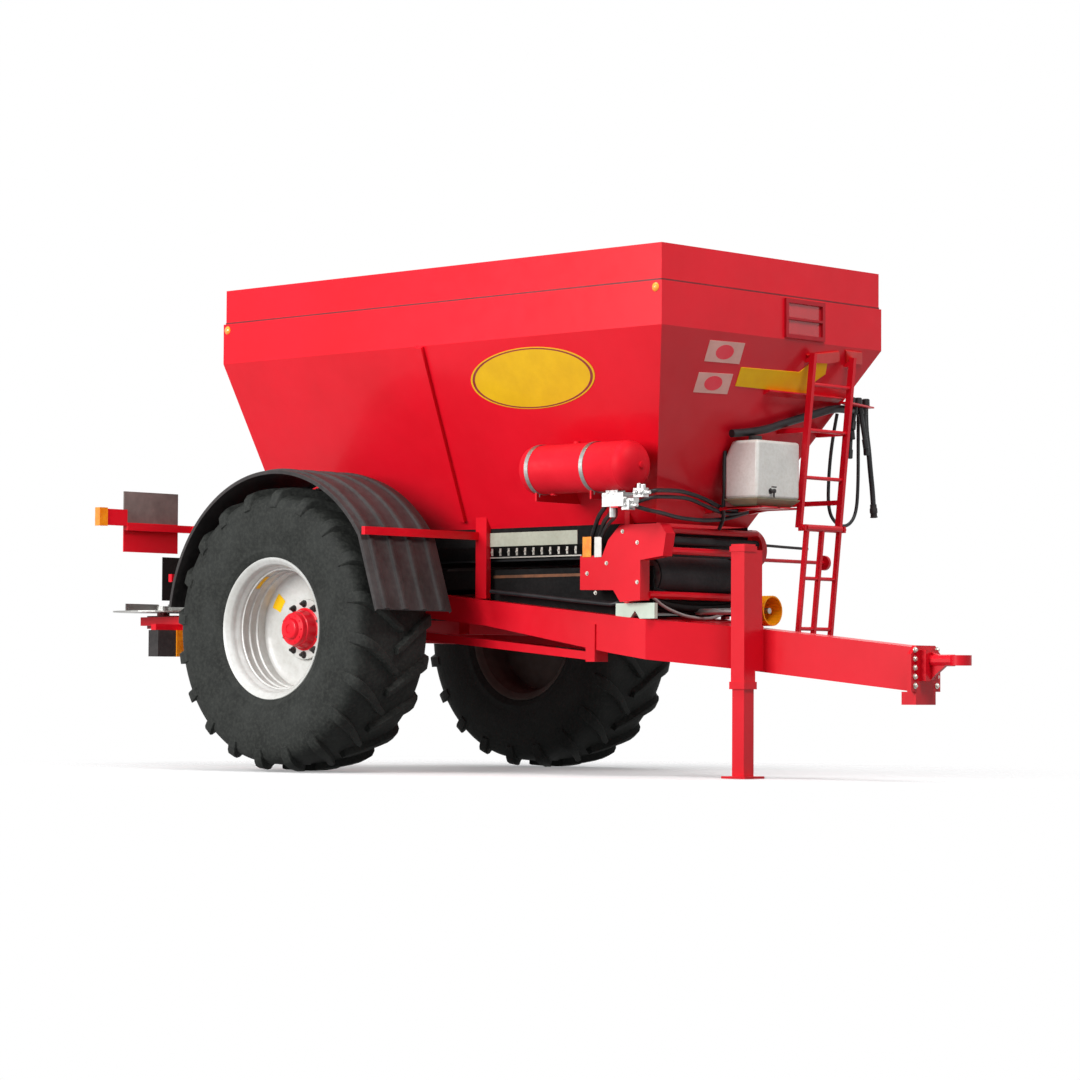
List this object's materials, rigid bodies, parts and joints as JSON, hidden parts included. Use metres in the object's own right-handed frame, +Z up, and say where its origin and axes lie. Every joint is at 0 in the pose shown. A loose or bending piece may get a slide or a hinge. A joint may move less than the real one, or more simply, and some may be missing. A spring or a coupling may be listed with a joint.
{
  "type": "trailed fertilizer spreader",
  "caption": "Single-axle trailed spreader with a sloping sheet steel hopper over a floor belt, a twin-disc spreading unit, a drawbar with towing eye and a prop jack.",
  "frame": {"origin": "on the floor below the middle of the whole machine's length and width", "axes": "+X the towing direction, +Y the machine's left side, +Z up"},
  "size_m": [6.983, 2.95, 3.149],
  "materials": {
    "tyre": "black tyre rubber",
    "rim": "silver wheel paint",
    "red_paint": "glossy red paint",
    "dark_red": "dark red paint",
    "black_plastic": "black moulded plastic",
    "rubber": "black rubber",
    "steel": "bare steel",
    "grey_strip": "grey strip",
    "white_plastic": "white moulded plastic",
    "yellow_plastic": "yellow guard plastic",
    "clear": "clear window",
    "lens": "amber and red lens",
    "aluminium": "cast aluminium"
  },
  "bodies": {
    "carriage": {"air_tank": "red_paint", "axle": "red_paint", "axle_stays": "red_paint", "beam_left": "red_paint", "beam_right": "red_paint", "bearing_bracket": "red_paint", "belt": "rubber", "belt_drums": "steel", "belt_plates": "black_plastic", "belt_seals": "rubber", "belt_skirts": "grey_strip", "board_frame": "red_paint", "cross_members": "red_paint", "curtains": "rubber", "drawbar": "red_paint", "drive_cover": "red_paint", "front_tubes": "red_paint", "gate_guides": "red_paint", "guard_stays": "red_paint", "hitch_head": "red_paint", "hopper_body": "red_paint", "hopper_extension": "red_paint", "hopper_posts": "red_paint", "hose_clips": "black_plastic", "hose_loop": "rubber", "hose_tail": "rubber", "hose_trunk": "rubber", "jack_tube": "red_paint", "ladder_upper": "red_paint", "lamp_housings": "black_plastic", "lamp_lenses": "lens", "marker_panels": "grey_strip", "mudguard_left": "black_plastic", "mudguard_right": "black_plastic", "pto_bearing": "red_paint", "pto_guard": "yellow_plastic", "relief_ridge": "red_paint", "spinner_arms": "red_paint", "spinner_gearbox": "dark_red", "tank_saddles": "red_paint", "tank_straps": "steel", "tensioner_blocks": "grey_strip", "towing_eye": "red_paint", "valve_block": "aluminium", "water_bracket": "red_paint", "water_tank": "white_plastic", "window_frame": "red_paint", "window_pane": "clear"},
    "wheel_left": {"tyre_left": "tyre", "rim_left": "rim", "hub_left": "red_paint"},
    "wheel_right": {"tyre_right": "tyre", "rim_right": "rim", "hub_right": "red_paint"},
    "jack": {"jack_leg": "red_paint"},
    "ladder": {"ladder_lower": "red_paint"},
    "disc_left": {"disc_left": "steel"},
    "disc_right": {"disc_right": "steel"},
    "gate": {"rear_gate": "steel"},
    "shaft": {"drive_shaft": "steel"}
  },
  "joints": [
    {"name": "wheel_left_spin", "type": "hinge", "parent": "carriage", "child": "wheel_left", "pos_m": [-0.9015, 1.15, 0.905], "axis": [0, 1, 0], "continuous": true},
    {"name": "wheel_right_spin", "type": "hinge", "parent": "carriage", "child": "wheel_right", "pos_m": [-0.9015, -1.15, 0.905], "axis": [0, 1, 0], "continuous": true},
    {"name": "jack_slide", "type": "slide", "parent": "carriage", "child": "jack", "axis": [0, 0, 1], "range_m": [0, 0.42]},
    {"name": "ladder_fold", "type": "hinge", "parent": "carriage", "child": "ladder", "pos_m": [1.9645, 0.565, 1.53], "axis": [0, -1, 0], "range_deg": [0, 165]},
    {"name": "disc_right_spin", "type": "hinge", "parent": "carriage", "child": "disc_right", "pos_m": [-3.1415, -0.4, 1.056], "axis": [0, 0, 1], "continuous": true},
    {"name": "disc_left_spin", "type": "hinge", "parent": "carriage", "child": "disc_left", "pos_m": [-3.1415, 0.4, 1.056], "axis": [0, 0, 1], "continuous": true},
    {"name": "shaft_spin", "type": "hinge", "parent": "carriage", "child": "shaft", "pos_m": [-0.9015, 0, 1.01], "axis": [1, 0, 0], "continuous": true},
    {"name": "gate_slide", "type": "slide", "parent": "carriage", "child": "gate", "axis": [0, 0, 1], "range_m": [0, 0.2]}
  ],
  "couplings": [
    {"joint": "disc_left_spin", "follows": "disc_right_spin", "ratio": -1},
    {"joint": "shaft_spin", "follows": "disc_right_spin", "ratio": 1}
  ]
}
